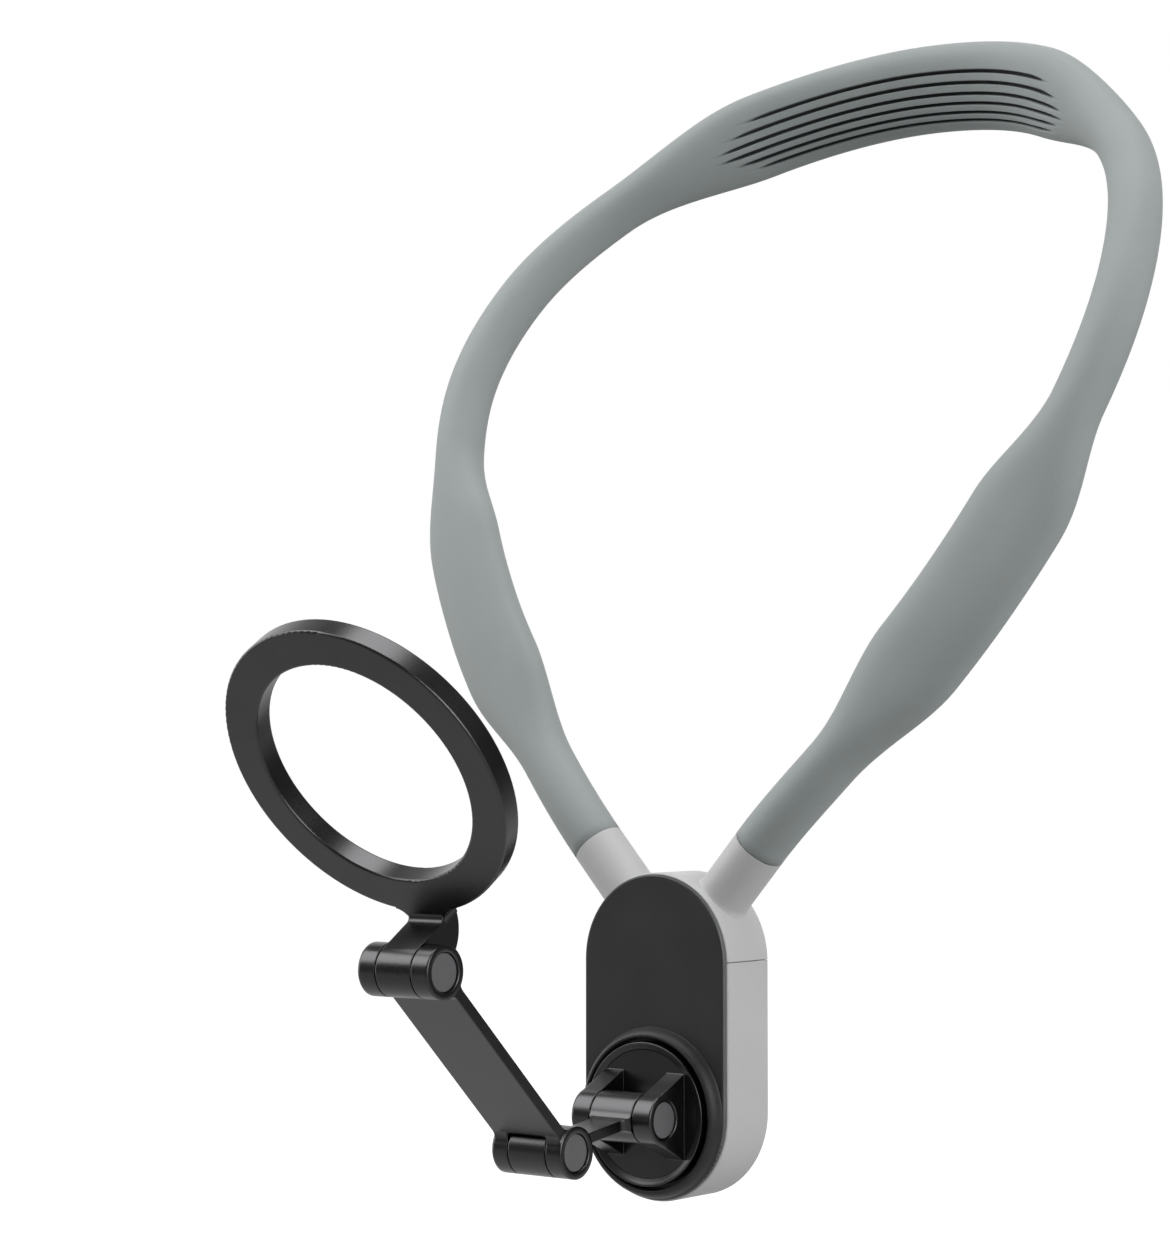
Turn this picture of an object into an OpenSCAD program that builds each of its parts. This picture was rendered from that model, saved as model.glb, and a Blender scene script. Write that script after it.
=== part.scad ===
// Chest mount for a magnetic phone: a bendable neck loop carries a small housing on the chest,
// and a folding arm on a turntable holds the magnet ring in front of it.
// Millimetres. The origin is the middle of the housing's back face, which lies on the chest.
// +X is the viewer's right, +Y points into the chest and +Z is up.
// Every piece is drawn on the bench, x right, y up and z forward, and worn() turns it upright.

/* [Housing] */
// Width of the pill-shaped housing
case_w = 33.3; // [32.5:0.1:38]
// Height of the housing
case_h = 61.7; // [58:0.1:72]
// Depth from the chest face to the front rim
case_d = 13.65; // [12.6:0.05:17]
// Thickness of the side and back walls
wall = 1.7; // [1.4:0.1:2.2]
// Rounding of the back edge
back_edge_r = 1.2; // [0.6:0.1:1.3]
// Rounding of the front rim
rim_edge_r = 0.4; // [0.2:0.1:0.6]
// Height of the seam above the upper half circle's centre
seam_rise = 0.2; // [0:0.1:1]
// Hairline left between the two shells
seam_gap = 0.15; // [0.1:0.05:0.3]
// Reach of the tongues that key the shells together
tongue_h = 2.2; // [1.5:0.1:3]
// Thickness of the tongues
tongue_t = 0.8; // [0.6:0.1:1]

/* [Front plate] */
// How far the plate stands proud of the rim
plate_proud = 1.0; // [0.6:0.1:1.6]
// Rounding of the plate's front edge
plate_edge_r = 0.45; // [0.2:0.05:0.55]
// Rim of the housing left round the plate
rim_show = 0.3; // [0.1:0.05:0.4]
// Depth of the spigot behind the plate
spigot_d = 1.5; // [1:0.1:1.6]

/* [Collars and neck] */
// Angle of the two collars above the horizontal
collar_angle = 48.4; // [44:0.1:52]
// Length of a collar outside the housing
collar_len = 12; // [9:0.1:15]
// Diameter of the collars and of the silicone tube
tube_d = 10.3; // [9.4:0.1:11]
// Blend between collar and housing
collar_blend = 2; // [1:0.1:3]
// Diameter of the bendable core
core_d = 4.2; // [3.6:0.1:4.6]
// Clearance of the silicone round the core
core_fit = 0.3; // [0.3:0.05:0.4]
// Widest half width of the neck loop, to its centre line
loop_half_w = 77.2; // [70:0.1:90]
// Rise of the loop from the collars' ends to the nape
loop_rise = 160.3; // [140:0.1:185]
// Reach of the loop from the collars' ends back to the nape
loop_reach = 86.8; // [75:0.1:100]
// Width of the nape pad
nape_pad_w = 18.6; // [15:0.1:21]
// Width of the two collarbone pads
bone_pad_w = 18.9; // [15:0.1:21]
// Thickness of the pads
pad_t = 9.2; // [8.4:0.1:10]

/* [Turntable] */
// Width of the bezel round the turning disc
bezel_w = 1.6; // [1.2:0.1:2]
// Height of the bezel above the plate
bezel_h = 2.4; // [1.8:0.1:2.8]
// Flat of the plate left outside the bezel
bezel_margin = 0.5; // [0.45:0.05:0.7]
// Groove between bezel and disc
disc_groove = 0.85; // [0.5:0.05:1.1]
// Height of the disc's face above the plate
disc_rise = 2.55; // [2:0.05:3.2]
// Running gap under the disc
disc_gap = 0.3; // [0.2:0.05:0.4]
// Width of the disc's raised lip
lip_w = 0.5; // [0.3:0.05:0.55]
// Height of the disc's raised lip
lip_h = 0.3; // [0.2:0.05:0.5]
// Diameter of the hub that turns in the plate
hub_d = 10; // [8.4:0.1:11]
// Diameter of the bearing boss behind the plate
boss_d = 15.6; // [14.8:0.1:17]
// Depth of the bearing boss behind the spigot
boss_len = 2; // [1.5:0.1:2.5]
// Height of the hinge axis above the disc's face
axis_rise = 5.9; // [5.4:0.1:7]
// Half height of the bracket's foot on the disc
foot_half_h = 8.2; // [6.5:0.1:8.5]

/* [Arm] */
// Diameter of the hinge knuckles
knuckle_d = 9.4; // [8.9:0.1:10]
// Length of the short link between its hinge axes
short_len = 24.8; // [22:0.1:32]
// Dip of the short link below the horizontal
short_dip = 8.4; // [0:0.1:20]
// Length of the long link between its hinge axes
long_len = 49.3; // [40:0.1:60]
// Rise of the long link above the horizontal
long_rise = 43.5; // [30:0.1:55]
// Thickness of the short link's plate
short_t = 1.9; // [1.6:0.05:2.6]
// Thickness of the long link's plate
long_t = 2.05; // [1.6:0.05:2.6]
// Width of the long link's plate
long_w = 15; // [14:0.1:15.4]
// Overall width of the hinge on the turntable
base_hinge_w = 18.26; // [17:0.02:19]
// Overall width of the long link's two hinges
link_hinge_w = 15.7; // [15.4:0.02:17]
// Width of the short link's knuckle on the turntable
base_knuckle_w = 9.46; // [8.8:0.02:10]
// Width of the short link's plate and far knuckle
mid_knuckle_w = 8.3; // [7.6:0.02:8.6]
// Width of the magnet ring's knuckle
ring_knuckle_w = 7.7; // [7:0.02:8.3]
// Gap between neighbouring knuckles
knuckle_gap = 0.35; // [0.3:0.01:0.5]
// Clearance in the long link's plate round a knuckle that turns
swing_gap = 0.95; // [0.6:0.05:1.3]
// Rounded corners of that clearance
swing_corner_r = 1; // [0.4:0.1:1.5]
// Blend above and below the bar of the short link at the turntable's knuckle
short_blend_r = 1.8; // [1.4:0.1:4]
// Blend between the other knuckles and the plates
long_blend_r = 2; // [1:0.1:3]
// Width of the short link's bar
short_w = 7; // [6:0.1:7.6]
// Rounded corners between the bar and the wider knuckle at the turntable
short_root_r = 2; // [1.4:0.1:2.5]

/* [Hinge hardware] */
// Diameter of the hinge bolts
bolt_d = 3; // [2.6:0.1:3.2]
// Diameter of the bolt heads, and of the nuts across their corners
bolt_head_d = 5.8; // [5.4:0.1:6]
// Height of bolt heads and nuts
bolt_head_h = 1.2; // [1:0.05:1.3]
// Hexagon socket in the bolt heads, across its corners
bolt_key_d = 2.3; // [1.8:0.1:2.6]
// Diameter of the end caps
cap_d = 6.8; // [6.4:0.1:7]
// Thickness of the end caps
cap_t = 0.7; // [0.5:0.05:0.8]
// How deep the caps sit in the knuckles' ends
cap_sink = 0.25; // [0.1:0.05:0.35]
// Radial clearance of the bolts
bolt_fit = 0.05; // [0.03:0.01:0.08]
// Gap round caps and screw heads
seat_gap = 0.12; // [0.08:0.01:0.2]
// Diameter of the friction washers
washer_d = 8; // [7:0.1:8.4]
// Play on each side of a friction washer
washer_play = 0.03; // [0.02:0.01:0.05]

/* [Magnet ring] */
// Width of the ring outside its magnets
ring_out_wall = 1.3; // [0.9:0.1:3.8]
// Width of the ring inside its magnets
ring_in_wall = 1.2; // [1:0.1:2.5]
// Thickness of the ring's frame
ring_t = 4.2; // [3.9:0.1:5]
// Rounding of the ring's edges
ring_edge_r = 0.4; // [0.2:0.05:0.45]
// Angle by which the ring's top leans forward of the upright
ring_lean_angle = 33.97; // [15:0.01:60]
// Distance from the ring's hinge axis to its outer edge
neck_len = 6.1; // [5.5:0.1:11.5]
// Distance of the ring's middle plane behind its hinge
ring_setback = 10.5; // [9.8:0.1:12]
// Rounded corners where the ring runs into its neck
ring_web_r = 3; // [2:0.1:4]
// Rounding of the heel under the neck
heel_r = 8; // [7:0.1:9]
// Height of the heel's centre above the hinge
heel_rise = 5.6; // [5:0.1:6.4]
// Step from the ring's back to the neck's back
neck_step = 0.6; // [0.2:0.1:1]
// Blend between the ring's front face and the shelf of its neck
neck_blend_r = 1.5; // [1:0.1:2]
// Outer diameter of the magnets
magnet_out_d = 54.4; // [53:0.1:55]
// Width of the magnets, from the inside of their circle to its outside
magnet_w = 4.2; // [3.7:0.1:4.4]
// Thickness of the magnets
magnet_t = 1.7; // [1.3:0.1:1.8]
// Number of magnet arcs
magnet_count = 18; // [12:1:24]
// Split between neighbouring arcs
magnet_split = 0.25; // [0.15:0.05:0.6]
// Thickness of the steel ring in front of the magnets
steel_t = 0.6; // [0.4:0.1:0.8]
// Thickness of the soft pad that meets the phone
soft_t = 0.9; // [0.8:0.1:1.2]
// How far the soft pad stands out of the frame
soft_proud = 0.4; // [0.3:0.1:0.5]

/* [Screws] */
// Diameter of the case screws
screw_d = 1.8; // [1.6:0.1:2]
// Diameter of their heads
screw_head_d = 3.4; // [3:0.1:3.6]
// Height of their heads
screw_head_h = 0.8; // [0.6:0.1:0.9]
// Depth of the heads below the back face
screw_sink = 0.15; // [0.1:0.05:0.2]
// Length of the case screws behind their heads
screw_len = 7; // [5:0.5:8]
// Diameter of the plate's screw posts
post_d = 4.4; // [4:0.1:4.6]
// Diameter of the set screws in the collars
set_screw_d = 2; // [1.6:0.1:2.4]

/* [Hidden] */
$fn = 64;

// Overrun of every cutting tool, and the small overlap that fuses two shapes of one piece
over = 1;
fuse = 0.5;

// Housing: radius of its half circles, and half the distance between their centres
case_r = case_w/2;
case_half = (case_h - case_w)/2;
seam_y = case_half + seam_rise;
inner_r = case_r - wall;
plate_r = case_r - rim_show;
plate_back = case_d - spigot_d;
plate_face = case_d + plate_proud;
spigot_fit = 0.1;
spigot_r = inner_r - spigot_fit;
tongue_fit = 0.05;

// Turntable, about the centre of the lower half circle
bezel_r = plate_r - bezel_margin;
disc_r = bezel_r - bezel_w - disc_groove;
disc_back = plate_face + disc_gap;
disc_face = plate_face + disc_rise;
hub_fit = 0.08;
spring_gap = 0.8;
spring_play = 0.1;
spring_t = 0.4;
spring_w = 2;
spring_rise = spring_gap - spring_play - spring_t;
hub_end = plate_back - boss_len - spring_gap;
spindle_washer_t = 1;
spindle_washer_w = 2.3;
spindle_d = 3;
spindle_fit = 0.1;
spindle_head_d = 5.6;
spindle_head_h = 1.9;
spindle_key_d = 2.9;
spindle_key_depth = 1.1;
spindle_depth = 6;
bezel_profile_shares = [[0, 0], [1, 0], [1, 0.25], [0.8, 0.68], [0.45, 1], [0, 1]];

// Hinge axes as [height, distance forward]
base_axis = [-case_half, disc_face + axis_rise];
mid_axis = base_axis + short_len*[-sin(short_dip), cos(short_dip)];
ring_axis = mid_axis + long_len*[sin(long_rise), cos(long_rise)];
knuckle_r = knuckle_d/2;
swing_r = knuckle_r + swing_gap;
ear_w = (base_hinge_w - base_knuckle_w)/2 - knuckle_gap;
cap_play = 0.05;
cap_floor = cap_sink + cap_t;
pocket_depth = cap_floor + cap_play + bolt_head_h;
bolt_key_depth = 0.7;

// Magnet ring: its planes are measured forward from its hinge axis
magnet_in_d = magnet_out_d - 2*magnet_w;
ring_in_d = magnet_in_d - 2*ring_in_wall;
ring_r = magnet_out_d/2 + ring_out_wall;
ring_rise = ring_r + neck_len;
ring_face = ring_t/2 - ring_setback;
ring_back = -ring_t/2 - ring_setback;
neck_back = ring_back + neck_step;
heel = [neck_back + heel_r, heel_rise];
rim_w = 0.4;
soft_fit = 0.3;
soft_seat = soft_t - soft_proud;
magnet_fit = 0.1;
magnet_play = 0.2;
stack_depth = soft_seat + magnet_play + magnet_t + steel_t;

// Sockets for the neck core, whose ends are crimped into steel ferrules
ferrule_wall = 0.9;
ferrule_len = 12;
ferrule_fit = 0.1;
crimp_fit = 0.05;
ferrule_d = core_d + 2*ferrule_wall;
socket_wall = 1.3;
socket_d = ferrule_d + 2*ferrule_fit;
socket_len = 6;
socket_foot = inner_r - socket_len;
sleeve_start = case_r + collar_len;
blend_sink = 0.15;
// How far the bracket's flanks run inside the tangents to its knuckles
flank_sink = 0.05;
// How far the rounds at the roots of bars run below the faces that they blend
root_sink = 0.05;
set_screw_inset = 2.2;
set_screw_sink = 0.5;
set_screw_bite = 0.4;
set_key_share = 0.55;
set_key_depth = 0.8;

// Screw posts: one holds the yoke and four hold the lower shell
yoke_post_share = 0.685;
post_clear = 1;
low_post_angle = 47;
low_post_inset = 0.4;
side_post = [inner_r - post_clear - post_d/2, seam_y - tongue_h - post_clear - post_d/2];
low_post = (spigot_r - low_post_inset - post_d/2)*[cos(low_post_angle), -sin(low_post_angle)]
    - [0, case_half];
yoke_posts = [[0, case_half + case_r*yoke_post_share]];
shell_posts = [side_post, [-side_post[0], side_post[1]], low_post, [-low_post[0], low_post[1]]];
all_posts = concat(yoke_posts, shell_posts);

// Neck loop from the right collar's end over the shoulder to the nape, as shares of the loop's
// half width, rise and reach. The left side is its mirror image.
loop_shares = [[0.509, 0.141, 0.049], [0.742, 0.287, 0.118], [0.915, 0.443, 0.211],
    [1, 0.601, 0.343], [0.963, 0.742, 0.519], [0.82, 0.853, 0.705], [0.587, 0.933, 0.853],
    [0.315, 0.984, 0.972], [0, 1, 1]];
// Pads along the half loop: middle, half length of the full width, and run-out
nape_pad_shares = [1, 0.17, 0.155];
bone_pad_shares = [0.23, 0.058, 0.093];
// Where the pads' inner face turns from the nape to the chest, and its two directions
turn_start_share = 0.731;
turn_length_share = 0.409;
nape_in_shares = [0, -0.34, 0.94];
chest_in_shares = [-0.25, -0.25, -0.93];
sleeve_sides = 16;
core_sides = 8;
steps = 4;

collar_dir = [cos(collar_angle), sin(collar_angle), 0];
collar_base = [0, case_half, case_d/2];
collar_end = collar_base + sleeve_start*collar_dir;
half_knots = concat([collar_end], [for (p = loop_shares)
    [p[0]*loop_half_w, collar_end[1] + p[1]*loop_rise, collar_end[2] - p[2]*loop_reach]]);
lead_in = half_knots[1] - 2*norm(half_knots[1] - collar_end)*collar_dir;
knots = concat([lead_in], half_knots,
    [for (i = [len(half_knots) - 2:-1:0]) flip(half_knots[i])], [flip(lead_in)]);
spans = len(knots) - 3;
nape_at = spans/2;
stations = [for (i = [0:spans*steps]) station(i/steps)];

function flip(p) = [-p[0], p[1], p[2]];
function unit(v) = v/norm(v);
function smooth(x) = let(t = min(max(x, 0), 1)) t*t*(3 - 2*t);

// A smooth curve through the knots: place and direction at a given span
function curve(a, b, c, d, t) =
    b + ((c - a) + ((2*a - 5*b + 4*c - d) + (3*b - a - 3*c + d)*t)*t)*t/2;
function slope(a, b, c, d, t) =
    ((c - a) + (2*(2*a - 5*b + 4*c - d) + 3*(3*b - a - 3*c + d)*t)*t)/2;

// Full width of a pad at a share of the half loop, from 0 outside it to 1 on it
function padded(share, pad) = smooth(1 - (abs(share - pad[0]) - pad[1])/pad[2]);

// The direction in which a pad's soft face looks
function inward(share, side) =
    let(m = smooth((turn_start_share - share)/turn_length_share))
    (1 - m)*(1 - m)*nape_in_shares + 2*m*(1 - m)*[-side, 0, 0]
    + m*m*[side*chest_in_shares[0], chest_in_shares[1], chest_in_shares[2]];

// Station of the loop: place, width direction, inward direction, half width and half thickness
function station(at) =
    let(i = min(floor(at), spans - 1))
    let(k = [knots[i], knots[i + 1], knots[i + 2], knots[i + 3]])
    let(place = curve(k[0], k[1], k[2], k[3], at - i))
    let(along = unit(slope(k[0], k[1], k[2], k[3], at - i)))
    let(share = 1 - abs(at - nape_at)/nape_at)
    let(look = inward(share, at < nape_at ? 1 : -1))
    let(inside = unit(look - (look*along)*along))
    let(nape = padded(share, nape_pad_shares))
    let(bone = padded(share, bone_pad_shares))
    [place, cross(along, inside), inside,
        (tube_d + nape*(nape_pad_w - tube_d) + bone*(bone_pad_w - tube_d))/2,
        (tube_d + (nape + bone)*(pad_t - tube_d))/2];

// A closed ring of points about a station, drawn round an ellipse of the given half axes
function loop_points(s, half_w, half_t, n) = [for (j = [0:n - 1])
    s[0] + half_w*cos(360*j/n)*s[1] + half_t*sin(360*j/n)*s[2]];

// Triangles between neighbouring rings of n points, seen from outside or from inside
function skin(first, rings, n, outside) = [for (k = [0:rings - 2]) for (j = [0:n - 1])
    let(a = first + k*n + j, b = first + k*n + (j + 1)%n)
    each outside ? [[a, b, b + n], [a, b + n, a + n]] : [[a, b + n, b], [a, a + n, b + n]]];

// Triangles of the flat rim between an outer and an inner ring of n points
function flat_rim(outer, inner, n, first) = [for (j = [0:n - 1])
    let(next = (j + 1)%n)
    each first ? [[outer + j, inner + j, inner + next], [outer + j, inner + next, outer + next]]
        : [[outer + j, inner + next, inner + j], [outer + j, outer + next, inner + next]]];

// Turns a piece from the bench, z forward, to the way it is worn
module worn() rotate([90, 0, 0]) children();

// Puts a piece on a hinge axis, turned nose up by the given angle
module at_axis(axis, rise) translate([0, axis[0], axis[1]]) rotate([-rise, 0, 0]) children();

// Puts a piece on the turntable's axis at a depth
module at_pivot(z) translate([0, -case_half, z]) children();

// Places a piece on both collars, with z outwards along the collar and y to the back
module on_collars(z) for (side = [0, 1]) mirror([side, 0, 0])
    translate(collar_base) rotate([-90, 0, collar_angle - 90]) translate([0, 0, z]) children();

// Extrudes a side profile, drawn with x forward and y up, across the arm's width
module across(width) translate([width/2, 0, 0]) rotate([0, -90, 0]) linear_extrude(width) children();

// A round bar along the hinge axis, from one x to another
module axle(x0, x1, d) translate([x0, 0, 0]) rotate([0, 90, 0]) cylinder(h = x1 - x0, d = d);

module mirrored() for (side = [0, 1]) mirror([side, 0, 0]) children();

module tube(outer_d, inner_d, h) difference() {
    cylinder(h = h, d = outer_d);
    translate([0, 0, -over]) cylinder(h = h + 2*over, d = inner_d);
}

// Pill outline: half circles of radius r, their centres a distance half from the middle
module pill(r, half) {
    for (end = [-1, 1]) translate([0, end*half]) circle(r);
    square([2*r, 2*half], center = true);
}

// Half section of a slab of radius r with a rounded lower and upper edge
module edge_section(r, h, low_r, high_r) {
    translate([0, low_r]) square([r, h - low_r - high_r]);
    square([r - low_r, h/2]);
    translate([0, h/2]) square([r - high_r, h/2]);
    if (low_r > 0) translate([r - low_r, low_r]) circle(low_r);
    if (high_r > 0) translate([r - high_r, h - high_r]) circle(high_r);
}

// Solid pill with a rounded lower and upper edge
module rounded_pill(r, half, h, low_r, high_r) {
    for (end = [-1, 1]) translate([0, end*half, 0])
        rotate_extrude() edge_section(r, h, low_r, high_r);
    translate([0, half, 0]) rotate([90, 0, 0]) linear_extrude(2*half)
        mirrored() edge_section(r, h, low_r, high_r);
}

module rounded_box(w, h, r) {
    translate([r, 0]) square([w - 2*r, h]);
    translate([0, r]) square([w, h - 2*r]);
    for (x = [r, w - r]) for (y = [r, h - r]) translate([x, y]) circle(r);
}

// How far a blend of radius r reaches along a plate from the knuckle's axis
function reach(half_t, r) = sqrt(pow(knuckle_r + r, 2) - pow(half_t + r, 2));

// The blends between a knuckle at the origin and a plate along x
module web(half_t, r) difference() {
    polygon([[0, 0], [reach(half_t, r), -half_t - r], [reach(half_t, r), half_t + r]]);
    for (side = [-1, 1]) translate([reach(half_t, r), side*(half_t + r)]) circle(r);
}

module case_block() rounded_pill(case_r, case_half, case_d, back_edge_r, rim_edge_r);
module cavity() translate([0, 0, wall]) linear_extrude(case_d) pill(inner_r, case_half);

// Everything below or above a height, as a cutting block
module below(y) translate([-case_w, y - case_h, -over]) cube([2*case_w, case_h, case_d + 2*over]);
module above(y) translate([-case_w, y, -over]) cube([2*case_w, case_h, case_d + 2*over]);

// Holes for the case screws, with counterbores in the back face
module screw_holes(posts) for (p = posts) translate([p[0], p[1], -over]) {
    cylinder(h = wall + 2*over, d = screw_d + 2*seat_gap);
    cylinder(h = over + screw_sink + screw_head_h, d = screw_head_d + 2*seat_gap);
}

// A collar and its foot, a fillet that runs into the half circle of the housing
module collar() {
    lift = sqrt(pow(case_r + collar_blend, 2) - pow(tube_d/2 + collar_blend, 2)) - blend_sink;
    foot_r = (tube_d/2 + collar_blend)*case_r/(case_r + collar_blend);
    rotate_extrude() {
        difference() {
            translate([0, inner_r + blend_sink]) square([foot_r, lift - inner_r - blend_sink]);
            translate([tube_d/2 + collar_blend, lift]) circle(collar_blend);
        }
        translate([0, inner_r + blend_sink]) square([tube_d/2, sleeve_start - inner_r - blend_sink]);
    }
}

module yoke_shell() color([0.74, 0.75, 0.75]) worn() difference() {
    union() {
        difference() {
            case_block();
            cavity();
            below(seam_y + seam_gap);
        }
        on_collars(0) collar();
        on_collars(socket_foot) cylinder(h = socket_len + fuse, d = socket_d + 2*socket_wall);
        mirrored() translate([inner_r - tongue_fit - tongue_t, seam_y - tongue_h, wall])
            cube([tongue_t, 3*tongue_h, plate_back - 2*wall]);
    }
    on_collars(socket_foot - over) cylinder(h = sleeve_start - socket_foot + 2*over, d = socket_d);
    on_collars(socket_foot + ferrule_len - set_screw_inset) rotate([-90, 0, 0])
        cylinder(h = tube_d, d = set_screw_d);
    screw_holes(yoke_posts);
}

module lower_shell() color([0.74, 0.75, 0.75]) worn() difference() {
    case_block();
    cavity();
    above(seam_y);
    screw_holes(shell_posts);
}

module front_plate() color([0.09, 0.09, 0.1]) worn() difference() {
    union() {
        translate([0, 0, case_d]) rounded_pill(plate_r, case_half, plate_proud, 0, plate_edge_r);
        translate([0, 0, plate_back]) linear_extrude(spigot_d) pill(spigot_r, case_half);
        at_pivot(plate_back - boss_len) cylinder(h = boss_len + fuse, d = boss_d);
        for (p = all_posts) translate([p[0], p[1], wall])
            cylinder(h = plate_back - wall + fuse, d = post_d);
    }
    at_pivot(0) cylinder(h = plate_face + over, d = hub_d + 2*hub_fit);
    for (p = all_posts) translate([p[0], p[1], wall - over]) cylinder(h = screw_len + over, d = screw_d);
}

module bezel_ring() color([0.12, 0.12, 0.13]) worn() at_pivot(plate_face) rotate_extrude()
    polygon([for (p = bezel_profile_shares) [bezel_r - bezel_w + p[0]*bezel_w, p[1]*bezel_h]]);

module case_screws() color([0.6, 0.6, 0.62]) worn() for (p = all_posts)
    translate([p[0], p[1], screw_sink]) difference() {
        union() {
            cylinder(h = screw_head_h, d = screw_head_d);
            cylinder(h = screw_head_h + screw_len - fuse, d = screw_d);
        }
        translate([0, 0, -over]) cylinder(h = over + screw_head_h/2, d = screw_d, $fn = 6);
    }

// Conical spring between the bearing boss and the spindle's washer
module disc_spring() color([0.65, 0.65, 0.66]) worn() at_pivot(hub_end + spring_play)
    rotate_extrude() translate([hub_d/2 + hub_fit, 0])
        polygon([[0, 0], [spring_w, spring_rise], [spring_w, spring_rise + spring_t], [0, spring_t]]);

// The bracket's cheek in side view: knuckle and flanks that run down into the disc
module ear_profile() {
    flank_r = knuckle_r - flank_sink;
    foot = [-axis_rise - fuse, foot_half_h];
    turn = atan2(foot[1], foot[0]) - acos(flank_r/norm(foot));
    touch = flank_r*[cos(turn), sin(turn)];
    circle(knuckle_r);
    polygon([touch, foot, [foot[0], -foot[1]], [touch[0], -touch[1]]]);
}

// Bolt bore through a hinge of width w, and the pockets for head, nut and caps at its ends
module hinge_bores(w) {
    axle(-w/2 - over, w/2 + over, bolt_d + 2*bolt_fit);
    mirrored() axle(w/2 - pocket_depth, w/2 + over, cap_d + 2*seat_gap);
}
module hinge_bolt(w) difference() {
    union() {
        axle(w/2 - pocket_depth, w/2 - pocket_depth + bolt_head_h, bolt_head_d);
        axle(pocket_depth - bolt_head_h - w/2, w/2 - pocket_depth + fuse, bolt_d);
    }
    translate([w/2 - pocket_depth + bolt_head_h - bolt_key_depth, 0, 0]) rotate([0, 90, 0])
        cylinder(h = bolt_key_depth + over, d = bolt_key_d, $fn = 6);
}
module hinge_nut(w) translate([pocket_depth - bolt_head_h - w/2, 0, 0]) rotate([0, 90, 0]) difference() {
    cylinder(h = bolt_head_h, d = bolt_head_d, $fn = 6);
    translate([0, 0, -over]) cylinder(h = bolt_head_h + 2*over, d = bolt_d);
}
module hinge_caps(w) mirrored() axle(w/2 - cap_floor, w/2 - cap_sink, cap_d);
module hinge_washers(knuckle_w) mirrored() translate([knuckle_w/2 + washer_play, 0, 0])
    rotate([0, 90, 0]) tube(washer_d, bolt_d + 2*bolt_fit, knuckle_gap - 2*washer_play);

module turntable() color([0.16, 0.16, 0.17]) worn() difference() {
    union() {
        at_pivot(0) rotate_extrude() polygon([[0, hub_end], [hub_d/2, hub_end], [hub_d/2, disc_back],
            [disc_r, disc_back], [disc_r, disc_face + lip_h], [disc_r - lip_w, disc_face + lip_h],
            [disc_r - lip_w, disc_face], [0, disc_face]]);
        at_axis(base_axis, 0) mirrored() translate([(base_hinge_w - ear_w)/2, 0, 0])
            across(ear_w) ear_profile();
    }
    at_pivot(hub_end - over) cylinder(h = over + spindle_depth, d = spindle_d);
    at_axis(base_axis, 0) hinge_bores(base_hinge_w);
}

module spindle_washer() color([0.65, 0.65, 0.66]) worn() at_pivot(hub_end - spindle_washer_t)
    tube(hub_d + 2*spindle_washer_w, spindle_d + 2*spindle_fit, spindle_washer_t);

module spindle_screw() color([0.45, 0.45, 0.47]) worn()
    at_pivot(hub_end - spindle_washer_t - spindle_head_h) difference() {
        union() {
            cylinder(h = spindle_head_h, d = spindle_head_d);
            cylinder(h = spindle_head_h + spindle_washer_t + spindle_depth - fuse, d = spindle_d);
        }
        translate([0, 0, -over]) cylinder(h = over + spindle_key_depth, d = spindle_key_d, $fn = 6);
    }

module base_bolt() color([0.45, 0.45, 0.47]) worn() at_axis(base_axis, 0) hinge_bolt(base_hinge_w);
module base_nut() color([0.6, 0.6, 0.62]) worn() at_axis(base_axis, 0) hinge_nut(base_hinge_w);
module base_caps() color([0.3, 0.3, 0.31]) worn() at_axis(base_axis, 0) hinge_caps(base_hinge_w);
module base_washers() color([0.85, 0.85, 0.83]) worn() at_axis(base_axis, 0)
    hinge_washers(base_knuckle_w);

// The short link's root from above: as wide as the turntable's knuckle, rounded in to the bar
module short_plan() difference() {
    translate([-base_knuckle_w/2, 0]) square([base_knuckle_w, knuckle_r + short_root_r]);
    for (side = [-1, 1])
        translate([side*(short_w/2 + short_root_r - root_sink), knuckle_r + short_root_r])
            circle(short_root_r);
}

module short_link() color([0.16, 0.16, 0.17]) worn() at_axis(base_axis, -short_dip) difference() {
    union() {
        axle(-base_knuckle_w/2, base_knuckle_w/2, knuckle_d);
        intersection() {
            across(base_knuckle_w) {
                web(short_t/2, short_blend_r);
                translate([0, -short_t/2]) square([knuckle_r + short_root_r, short_t]);
            }
            translate([0, knuckle_r, 0]) rotate([90, 0, 0]) linear_extrude(knuckle_d) short_plan();
        }
        across(short_w) translate([knuckle_r, -short_t/2]) square([short_len - knuckle_r, short_t]);
        translate([0, 0, short_len]) {
            axle(-mid_knuckle_w/2, mid_knuckle_w/2, knuckle_d);
            rotate([0, 180, 0]) across(short_w) web(short_t/2, long_blend_r);
        }
    }
    for (z = [0, short_len]) translate([0, 0, z])
        axle(-base_hinge_w/2, base_hinge_w/2, bolt_d + 2*bolt_fit);
}

// One end of the long link: two outer knuckles and their blends into the plate
module link_end(knuckle_w) mirrored() {
    inner_x = knuckle_w/2 + knuckle_gap;
    axle(inner_x, link_hinge_w/2, knuckle_d);
    translate([(inner_x + long_w/2)/2, 0, 0]) across(long_w/2 - inner_x) web(long_t/2, long_blend_r);
}

// The clearance that a turning knuckle needs in the plate
module swing_slot(knuckle_w) translate([-knuckle_w/2 - knuckle_gap, long_t/2 + over, -swing_r])
    rotate([90, 0, 0]) linear_extrude(long_t + 2*over)
        rounded_box(knuckle_w + 2*knuckle_gap, 2*swing_r, swing_corner_r);

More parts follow.
